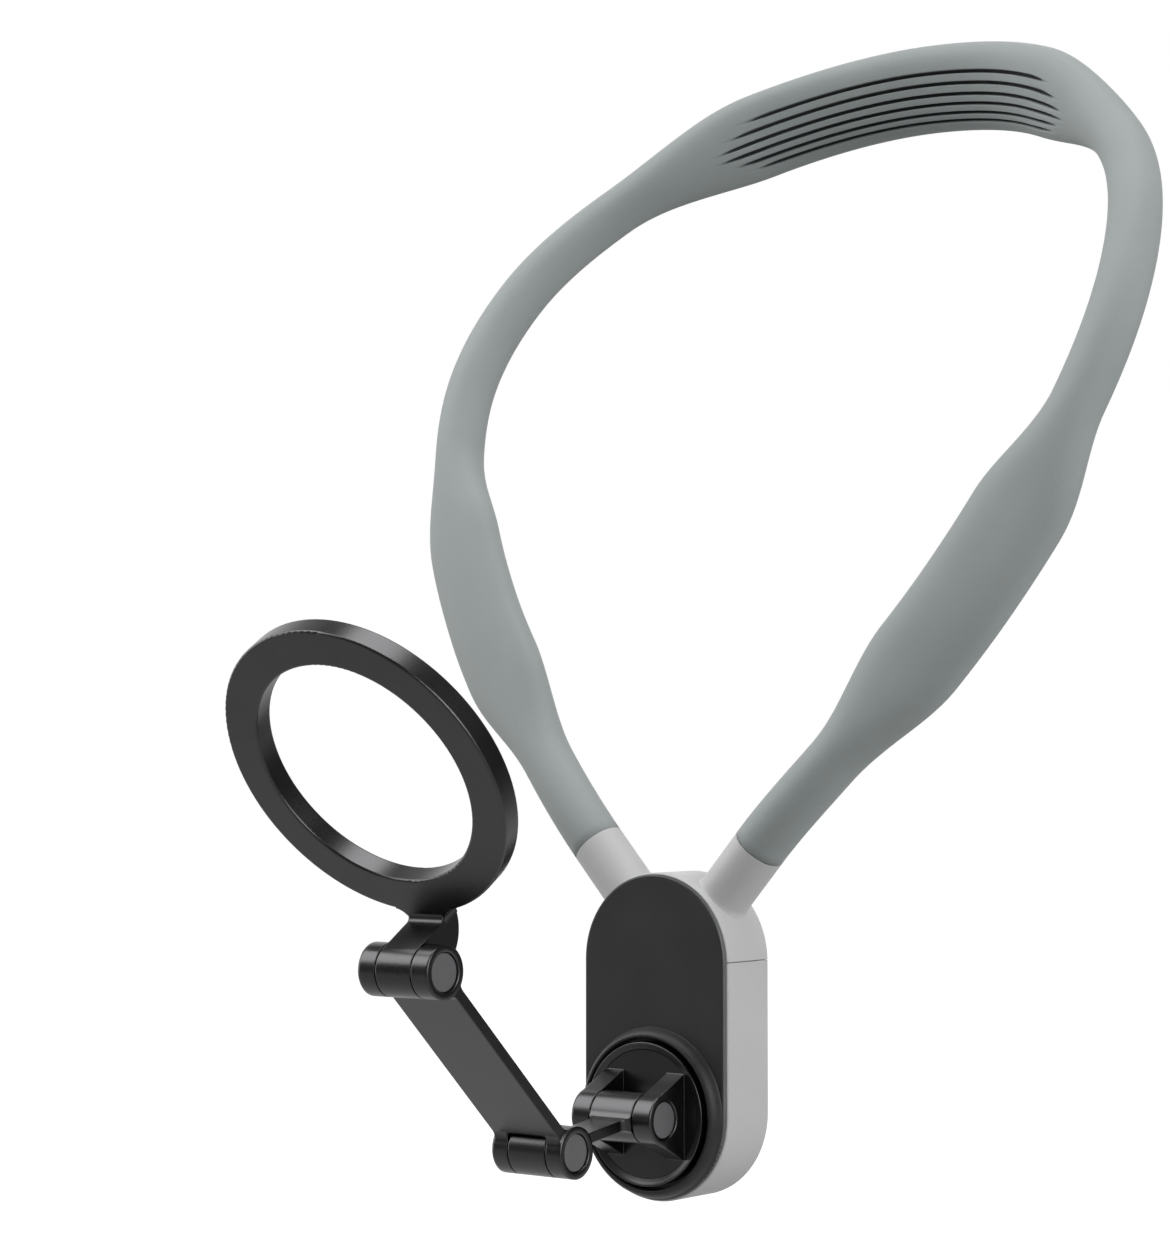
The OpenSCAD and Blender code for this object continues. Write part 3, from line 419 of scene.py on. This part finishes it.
def turned_tree(name, section, sides, crossed=False):
    """Geometry Nodes that put a turned piece on each point, its axis along the point's way out.
    The section is in shares of the radius and the length, and a cross may be cut in the end."""
    tree = bpy.data.node_groups.new(name, "GeometryNodeTree")
    labels = {"Places": "Geometry", "Finish": "Material", "Radius": "Float", "Length": "Float"}
    if crossed:
        labels.update({"Cross Length": "Float", "Cross Width": "Float", "Cross Depth": "Float"})
    for label, kind in labels.items():
        tree.interface.new_socket(label, in_out="INPUT", socket_type="NodeSocket" + kind)
    tree.interface.new_socket("Pieces", in_out="OUTPUT", socket_type="NodeSocketGeometry")
    given = {socket.name: Wire(tree, socket) for socket in tree.nodes.new("NodeGroupInput").outputs}
    places, radius, length = given["Places"], given["Radius"], given["Length"]

    def vector(x, y, z):
        return places.node("ShaderNodeCombineXYZ", {}, {"X": x, "Y": y, "Z": z})

    foot = places.node("GeometryNodeMeshCircle", {"fill_type": "NGON"},
                       {"Vertices": sides, "Radius": section[0][0]})
    body, top = foot, True
    for (r, z), (r_next, z_next) in zip(section, section[1:]):
        body = body.node("GeometryNodeExtrudeMesh", {},
                         {"Mesh": body, "Selection": top, "Individual": False,
                          "Offset": vector(0.0, 0.0, z_next - z)})
        top = Wire(tree, body.socket.node.outputs["Top"])
        body = body.node("GeometryNodeScaleElements", {},
                         {"Geometry": body, "Selection": top, "Scale": r_next / r})
    foot = foot.node("GeometryNodeFlipFaces", {}, {"Mesh": foot})
    body = body.node("GeometryNodeJoinGeometry", {}, {"Geometry": [foot, body]})
    body = body.node("GeometryNodeMergeByDistance", {},
                     {"Geometry": body, "Distance": MERGE_SHARE})
    body = body.node("GeometryNodeTransform", {},
                     {"Geometry": body, "Scale": vector(radius, radius, length)})
    if crossed:
        cut = vector(given["Cross Length"], given["Cross Width"], given["Cross Depth"] * 2)
        for turn in (0, math.pi / 2):
            bar = cut.node("GeometryNodeMeshCube", {}, {"Size": cut})
            bar = bar.node("GeometryNodeTransform", {},
                           {"Geometry": bar, "Rotation": (0, 0, turn),
                            "Translation": vector(0.0, 0.0, length)})
            body = body.node("GeometryNodeMeshBoolean",
                             {"operation": "DIFFERENCE", "solver": "EXACT"},
                             {"Mesh 1": body, "Mesh 2": bar})
    body = body.node("GeometryNodeSetShadeSmooth", {}, {"Geometry": body, "Shade Smooth": True})
    sharp = body.node("GeometryNodeInputMeshEdgeAngle", {}, {}).maths("GREATER_THAN", FOLD)
    body = body.node("GeometryNodeSetShadeSmooth", {"domain": "EDGE"},
                     {"Geometry": body, "Selection": sharp, "Shade Smooth": False})
    way_out = places.node("GeometryNodeInputNamedAttribute", {"data_type": "FLOAT_VECTOR"},
                          {"Name": "way_out"})
    turned = way_out.node("FunctionNodeAlignRotationToVector", {"axis": "Z"}, {"Vector": way_out})
    pieces = places.node("GeometryNodeInstanceOnPoints", {},
                         {"Points": places, "Instance": body, "Rotation": turned})
    pieces = pieces.node("GeometryNodeRealizeInstances", {}, {"Geometry": pieces})
    pieces = pieces.node("GeometryNodeSetMaterial", {},
                         {"Geometry": pieces, "Material": given["Finish"]})
    tree.links.new(pieces.socket, tree.nodes.new("NodeGroupOutput").inputs[0])
    return tree


def run_tree(name, tree, places, ways, **given):
    """A plain mesh of the pieces that a tree puts on these places, which are in metres."""
    points = bpy.data.meshes.new(name + "_places")
    points.from_pydata([tuple(place) for place in places], [], [])
    way_out = points.attributes.new("way_out", "FLOAT_VECTOR", "POINT")
    way_out.data.foreach_set("vector", np.ravel(ways).astype(float))
    piece = bpy.data.objects.new(name, points)
    bpy.context.scene.collection.objects.link(piece)
    maker = piece.modifiers.new("maker", "NODES")
    maker.node_group = tree
    for socket in tree.interface.items_tree:
        if socket.in_out == "INPUT" and socket.name != "Places":
            maker[socket.identifier] = given[socket.name.replace(" ", "_")]
    made = piece.evaluated_get(bpy.context.evaluated_depsgraph_get())
    mesh = bpy.data.meshes.new_from_object(made)
    piece.modifiers.remove(maker)
    shape = bmesh.new()
    shape.from_mesh(mesh)
    bmesh.ops.recalc_face_normals(shape, faces=shape.faces)
    shape.to_mesh(mesh)
    shape.free()
    while mesh.materials[0] is None:
        mesh.materials.pop(index=0)
    mesh.name, piece.data = name, mesh
    return piece


screw_places = worn(np.array([(x, y, SCREW_TIP) for x, y in SCREW_PLACES]))
screw_tree = turned_tree("turned_screw", SCREW_SECTION, SCREW_SIDES, crossed=True)
screws = run_tree("back_screws", screw_tree, screw_places, [(0, 1, 0)] * len(screw_places),
                  Finish=zinc_plate, Radius=SCREW_R * MM, Length=SCREW_LENGTH * MM,
                  Cross_Length=CROSS_LENGTH * MM, Cross_Width=CROSS_WIDTH * MM,
                  Cross_Depth=CROSS_DEPTH * MM)
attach(screws, "housing")
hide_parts("case_screws")

# Front plate: black plastic with a rounded edge that stands a little proud of the shells, with
# the bearing boss for the turntable and the screw posts on its back.
# The plate's edges that face sideways carry a painted highlight of this colour, standing in for
# light reflected on the rounded edge.
PLATE_EDGE, PLATE_HIGHLIGHT_COLOUR = 0.4 * MM, (0.13, 0.13, 0.133)
plate_black = moulded("plate_black", (0.024, 0.024, 0.025), (0.034, 0.034, 0.036), 0.4, 0.25 * MM,
                      0.004 * MM, PLATE_EDGE, PLATE_HIGHLIGHT_COLOUR, Specular_IOR_Level=0.5)
wears(plate_black, "front_plate")

# Bezel ring: turned from aluminium, rounded over and anodised black, pressed on round the turning
# disc. Very fine turning marks run round it.
PIVOT_HEIGHT, PLATE_FACE = -14.2, 14.65
BEZEL_IN, BEZEL_OUT, BEZEL_H, TURNED_SIDES = 14.25, 15.85, 2.4, 160
# Section of the bezel as shares of its width and height, from the inner foot round to the outer
BEZEL_SECTION = ((0, -0.02), (0, 0.86), (0.015, 0.92), (0.05, 0.965), (0.11, 0.99), (0.2, 1),
                 (0.3, 0.99), (0.4, 0.96), (0.49, 0.915), (0.58, 0.855), (0.67, 0.785),
                 (0.75, 0.705), (0.83, 0.61), (0.9, 0.5), (0.96, 0.38), (1.01, 0.25),
                 (1.06, 0.13), (1.13, 0.03), (1.21, -0.04), (1.28, -0.12), (1.325, -0.21),
                 (1.2, -0.23))
MARK_SPACING, BEZEL_CLOUD = 0.22 * MM, 3 * MM


def turned_piece(name, section, sides, to_place, material):
    """A piece whose closed section, radius and height, anticlockwise, turns about the z axis."""
    section = np.array(section)
    turn = np.linspace(0, 2 * math.pi, sides, endpoint=False)[:, None]
    points = np.stack([section[:, 0] * np.cos(turn), section[:, 0] * np.sin(turn),
                       section[:, 1] + 0 * turn], -1).reshape(-1, 3)
    corners = len(section)
    i, j = np.meshgrid(np.arange(corners), np.arange(sides), indexing="ij")
    a, b = j * corners + i, j * corners + (i + 1) % corners
    c, d = (j + 1) % sides * corners + (i + 1) % corners, (j + 1) % sides * corners + i
    faces = np.stack([d, c, b, a], -1).reshape(-1, 4)
    return mesh_piece(name, worn(to_place(points)), faces, material)


def on_pivot(points):
    """Points about the turntable's axis to the bench."""
    return points + np.array([0, PIVOT_HEIGHT, 0])


def turned_black():
    """Black anodised turned metal, with fine rings about the turntable's axis."""
    material, place = new_finish("turned_black", Metallic=0.2, Specular_IOR_Level=0.28)
    centred = place.node("ShaderNodeMapping", {},
                         {"Vector": place, "Location": (0, 0, -PIVOT_HEIGHT * MM)})
    radius = centred.vector_maths("MULTIPLY", (1, 0, 1)).vector_maths("LENGTH", output=1)
    marks = (radius * (2 * math.pi / MARK_SPACING)).maths("SINE")
    cloud = place.grain(BEZEL_CLOUD)
    feed(material, Base_Color=cloud.shade((0.026, 0.026, 0.027), (0.042, 0.042, 0.044)),
         Roughness=0.45 + cloud.about(0.14) + marks * 0.015)
    return material


bezel_section = [(BEZEL_IN + x * (BEZEL_OUT - BEZEL_IN), PLATE_FACE + y * BEZEL_H)
                 for x, y in BEZEL_SECTION]
bezel = turned_piece("bezel", bezel_section[::-1], TURNED_SIDES, on_pivot, turned_black())
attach(bezel, "housing")
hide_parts("bezel_ring")

# Turntable: disc, hub and hinge bracket in one aluminium piece, blasted and anodised dark grey.
# A screw and washer hold the hub in the plate, and a conical spring gives the turning its drag.
HINGE_AXES = ((-23.1, -14.2), (-47.634, -17.823), (-83.395, 16.113))
KNUCKLE_R, KNUCKLE_END = 4.7, 6.6
DISC_FACE = 17.2
# Section of the disc's lip: radius, and height above the disc's face
LIP_SECTION = ((12.0, -0.2), (12.0, 0.0), (12.15, 0.03), (12.9, 0.335), (13.2, 0.46),
               (13.29, 0.475), (13.36, 0.455), (13.41, 0.4), (13.42, 0.33), (13.42, -0.2))
BLAST_GRAIN, BLAST_CLOUD, BLAST_RELIEF = 0.22 * MM, 7 * MM, 0.0006 * MM
BLAST_EDGE, KNUCKLE_EDGE = 0.28 * MM, 0.5 * MM
KNUCKLE_FADE, KNUCKLE_END_FADE = (0.1, 0.6), 0.3


def blasted(name, dark, light, rough):
    """Dark anodised aluminium: fine blasted grain, cloudy patches, and edges rounded by the
    blasting, more so at the ends of the hinge knuckles."""
    material, place = new_finish(name, Metallic=1.0)
    grain, patch = place.grain(BLAST_GRAIN), place.grain(BLAST_CLOUD, 3.0)
    sideways = place.node("ShaderNodeSeparateXYZ", {}, {"Vector": place}).maths("ABSOLUTE")
    from_axis = None
    for y, z in HINGE_AXES:
        off = place.vector_maths("SUBTRACT", (0, y * MM, z * MM))
        off = off.vector_maths("MULTIPLY", (0, 1, 1)).vector_maths("LENGTH", output=1)
        from_axis = off if from_axis is None else from_axis.maths("MINIMUM", off)
    knuckle = 1 - from_axis.band(*((KNUCKLE_R + fade) * MM for fade in KNUCKLE_FADE))
    knuckle_ends = knuckle * sideways.band(KNUCKLE_END * MM, (KNUCKLE_END + KNUCKLE_END_FADE) * MM)
    feed(material, Base_Color=grain.mixed(patch, 0.4).shade(dark, light),
         Roughness=rough + patch.about(0.08) + grain.about(0.04),
         Normal=grain.bump(BLAST_RELIEF, BLAST_EDGE + knuckle_ends * KNUCKLE_EDGE))
    return material


arm_grey = blasted("arm_grey", (0.07, 0.07, 0.072), (0.094, 0.094, 0.096), 0.29)
wears(arm_grey, "turntable")
lip_section = [(radius, DISC_FACE + height) for radius, height in LIP_SECTION]
disc_lip = turned_piece("disc_lip", lip_section[::-1], TURNED_SIDES, on_pivot, arm_grey)
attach(disc_lip, "turntable")
wears(zinc_plate, "spindle_washer", "disc_spring", "base_nut")
wears(black_oxide, "spindle_screw", "base_bolt")

# Hinge caps and friction washers: satin dark grey plastic caps with rounded rims close the bolt
# pockets, and white low-friction washers sit between the knuckles.
CAP_R, CAP_T, CAP_SINK, CAP_SIDES = 3.38, 0.7, 0.25, 64
BASE_HINGE_W, LINK_HINGE_W = 18.26, 15.7
# Section of a cap as shares of its radius and thickness, from its foot to its face
CAP_SECTION = ((0.98, 0), (1, 0.06), (1, 0.6), (0.993, 0.76), (0.972, 0.9), (0.94, 0.975),
               (0.9, 1), (0.6, 1.03), (0.3, 1.045))
cap_grey = moulded("cap_grey", (0.10, 0.10, 0.103), (0.14, 0.14, 0.145), 0.45, 0.3 * MM,
                   0.004 * MM, Specular_IOR_Level=0.4)
washer_white = moulded("washer_white", (0.7, 0.7, 0.68), (0.84, 0.84, 0.82), 0.5, 0.3 * MM,
                       0.01 * MM)
cap_tree = turned_tree("turned_cap", CAP_SECTION, CAP_SIDES)
for name, width, axes, body, node in (
        ("turntable_caps", BASE_HINGE_W, HINGE_AXES[:1], "turntable", "base_caps"),
        ("arm_caps", LINK_HINGE_W, HINGE_AXES[1:], "long_link", "link_caps")):
    foot = width / 2 - CAP_SINK - CAP_T
    places = [Vector((side * foot, y, z)) * MM for y, z in axes for side in (-1, 1)]
    caps = run_tree(name, cap_tree, places, [(side, 0, 0) for _ in axes for side in (-1, 1)],
                    Finish=cap_grey, Radius=CAP_R * MM, Length=CAP_T * MM)
    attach(caps, body)
    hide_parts(node)
wears(washer_white, "base_washers", "link_washers")

# Short link: a slim milled bar with a wide knuckle on the turntable's bracket and a narrow one
# inside the long link.
wears(arm_grey, "short_link")

# Long link: a flat milled plate with a pair of knuckles at each end, on bolts with hexagon nuts.
wears(arm_grey, "long_link")
wears(black_oxide, "link_bolts")
wears(zinc_plate, "link_nuts")

# Magnet ring: milled aluminium ring with a neck and knuckle, blasted and anodised dark grey. It
# holds nickel-plated magnets, and a steel ring in front of them that closes their field.
wears(arm_grey, "ring_frame")
wears(zinc_plate, "steel_ring")
nickel = plain_metal("nickel", (0.6, 0.59, 0.57), (0.74, 0.73, 0.71), 0.22)
wears(nickel, "magnet_arcs")

# Soft pad: a thin dark ring of soft rubber over the magnets, which meets the phone's back. Its
# edges are rounded and it has a fine leathery grain.
RING_AXIS = (16.113, 83.395)
RING_LEAN = math.radians(33.97)
RING_RISE, RING_BACK = 34.6, -12.6
PAD_OUT, PAD_IN, PAD_LOW, PAD_HIGH, PAD_ROUND, PAD_SIDES = 27.8, 22.5, -0.4, 0.5, 0.3, 144


def ring_to_bench(points):
    """Points about the ring's centre, z forward from its back, to the bench."""
    x, y, z = points[..., 0], points[..., 1] + RING_RISE, points[..., 2] + RING_BACK
    c, s = math.cos(RING_LEAN), math.sin(RING_LEAN)
    return np.stack([x, RING_AXIS[0] + c * y - s * z, RING_AXIS[1] + s * y + c * z], -1)


def rounded_section(x0, x1, y0, y1, r, steps=5):
    """Corners of a rounded rectangle, anticlockwise."""
    middles = ((x1 - r, y0 + r, -90), (x1 - r, y1 - r, 0), (x0 + r, y1 - r, 90),
               (x0 + r, y0 + r, 180))
    return [(cx + r * math.cos(turn), cy + r * math.sin(turn)) for cx, cy, start in middles
            for turn in np.radians(np.linspace(start, start + 90, steps))]


pad_black = moulded("pad_black", (0.045, 0.045, 0.048), (0.075, 0.075, 0.08), 0.62, 0.4 * MM,
                    0.03 * MM, Specular_IOR_Level=0.3)
pad = turned_piece("phone_pad", rounded_section(PAD_IN, PAD_OUT, PAD_LOW, PAD_HIGH, PAD_ROUND),
                   PAD_SIDES, ring_to_bench, pad_black)
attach(pad, "ring")
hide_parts("ring_pad")

# Studio: a pale floor below the part and a white backdrop behind it, in a room whose other walls
# look dark in the metal. A large soft key light stands high on the left, a weaker one on the right.
FLOOR_Z, FLOOR_HALF = -0.15, 8
AMBIENT = 0.08
ROOM_DARK = 0.1
BACKDROP_WAY, BACKDROP_EDGE = (-0.62, 0.78, 0.04), (0.6, 0.85)
FLOOR_NEAR, FLOOR_MIRRORED, FLOOR_GLOW = 0.74, 0.05, 0.34
# The floor brightens outwards over this distance, and its mirrored glow lies behind and left
FLOOR_FADE, GLOW_BEHIND, GLOW_LEFT = (0.3, 1.2), (-0.32, 0.02), (0.05, 0.5)


def rays(wire, *kinds):
    """1 for rays of these kinds, and 0 for the others."""
    light_path = wire.node("ShaderNodeLightPath", {}, {}).socket.node.outputs
    total = Wire(wire.tree, light_path[kinds[0]])
    for kind in kinds[1:]:
        total = total + Wire(wire.tree, light_path[kind])
    return total.maths("MINIMUM", 1.0)


world = bpy.data.worlds.new("surround")
bpy.context.scene.world = world
world.use_nodes = True
sky = world.node_tree.nodes["Background"]
way = Wire(world.node_tree, world.node_tree.nodes.new("ShaderNodeTexCoord").outputs["Generated"])
backdrop = way.vector_maths("DOT_PRODUCT", BACKDROP_WAY, 1).band(*BACKDROP_EDGE)
room = ROOM_DARK + (1 - ROOM_DARK) * backdrop
camera_sees = rays(way, "Is Camera Ray", "Is Transmission Ray")
mirror_sees = rays(way, "Is Glossy Ray")
strength = AMBIENT + camera_sees * (1 - AMBIENT) + mirror_sees * (room - AMBIENT)
world.node_tree.links.new(strength.socket, sky.inputs["Strength"])
sky.inputs["Color"].default_value = (1, 1, 1, 1)

floor_mesh = bpy.data.meshes.new("floor")
floor_mesh.from_pydata([(x * FLOOR_HALF, y * FLOOR_HALF, FLOOR_Z)
                        for x, y in ((-1, -1), (1, -1), (1, 1), (-1, 1))], [], [(0, 1, 2, 3)])
floor = bpy.data.objects.new("floor", floor_mesh)
bpy.context.scene.collection.objects.link(floor)
floor_white, on_floor = new_finish("floor_white", Roughness=0.9, Specular_IOR_Level=0.0,
                                   Base_Color=(0.32, 0.32, 0.32, 1), Emission_Strength=1.0)
far = on_floor.vector_maths("LENGTH", output=1).band(*FLOOR_FADE)
along_x = on_floor.node("ShaderNodeSeparateXYZ", {}, {"Vector": on_floor})
behind = Wire(along_x.tree, along_x.socket.node.outputs["Y"]).band(*GLOW_BEHIND)
left = 1 - along_x.band(*GLOW_LEFT)
lit = (rays(on_floor, "Is Camera Ray", "Is Transmission Ray")
       * (FLOOR_NEAR + (1 - FLOOR_NEAR) * far)
       + rays(on_floor, "Is Glossy Ray") * (FLOOR_MIRRORED + FLOOR_GLOW * behind * left))
feed(floor_white, Emission_Color=lit.shade((0, 0, 0), (1, 1, 1)))
floor_mesh.materials.append(floor_white)


def softbox(name, place, aim, width, height, power, mirrored=True):
    """A rectangular soft light at a place, turned to its aim, that may show in reflections."""
    light = bpy.data.lights.new(name, "AREA")
    light.shape = "RECTANGLE"
    light.size, light.size_y, light.energy = width, height, power
    lamp = bpy.data.objects.new(name, light)
    lamp.location = place
    lamp.rotation_euler = (Vector(aim) - Vector(place)).to_track_quat("-Z", "Y").to_euler()
    lamp.visible_glossy = mirrored
    bpy.context.scene.collection.objects.link(lamp)


LOOP_MIDDLE = (0, 0, 0.08)
softbox("key", (-0.82, -0.56, 0.93), (0, -0.04, 0.04), 1.2, 0.96, 12.0)
softbox("side", (1.3, -0.35, 0.5), LOOP_MIDDLE, 1.0, 1.0, 11.5)
softbox("top", (0, 0, 1.4), LOOP_MIDDLE, 0.8, 0.8, 8.0)
softbox("back", (0.95, 0.8, 0.55), LOOP_MIDDLE, 0.8, 0.8, 4.5, mirrored=False)
softbox("left", (-1.3, -0.27, 0.17), LOOP_MIDDLE, 0.8, 0.8, 4.6)

# Camera: solved from the photograph together with the sizes. The picture's height and the focal
# length are in pixels, and the axes point right, up and back.
SENSOR, PICTURE_HEIGHT, FOCAL_LENGTH = 36, 1252, 3045
CAMERA_PLACE = (347.233, -474.717, 51.919)
CAMERA_AXES = ((0.784594, 0.620010, 0), (0.027447, -0.034733, 0.999020),
               (0.619402, -0.783825, -0.044269))
camera_data = bpy.data.cameras.new("camera")
camera_data.sensor_fit = "VERTICAL"
camera_data.sensor_height = SENSOR
camera_data.lens = SENSOR * FOCAL_LENGTH / PICTURE_HEIGHT
camera_data.clip_start = 0.01
camera = bpy.data.objects.new("camera", camera_data)
turned = Matrix(CAMERA_AXES).transposed().to_4x4()
camera.matrix_world = Matrix.Translation(Vector(CAMERA_PLACE) * MM) @ turned
bpy.context.scene.collection.objects.link(camera)
bpy.context.scene.camera = camera
bpy.context.scene.view_settings.view_transform = "Standard"
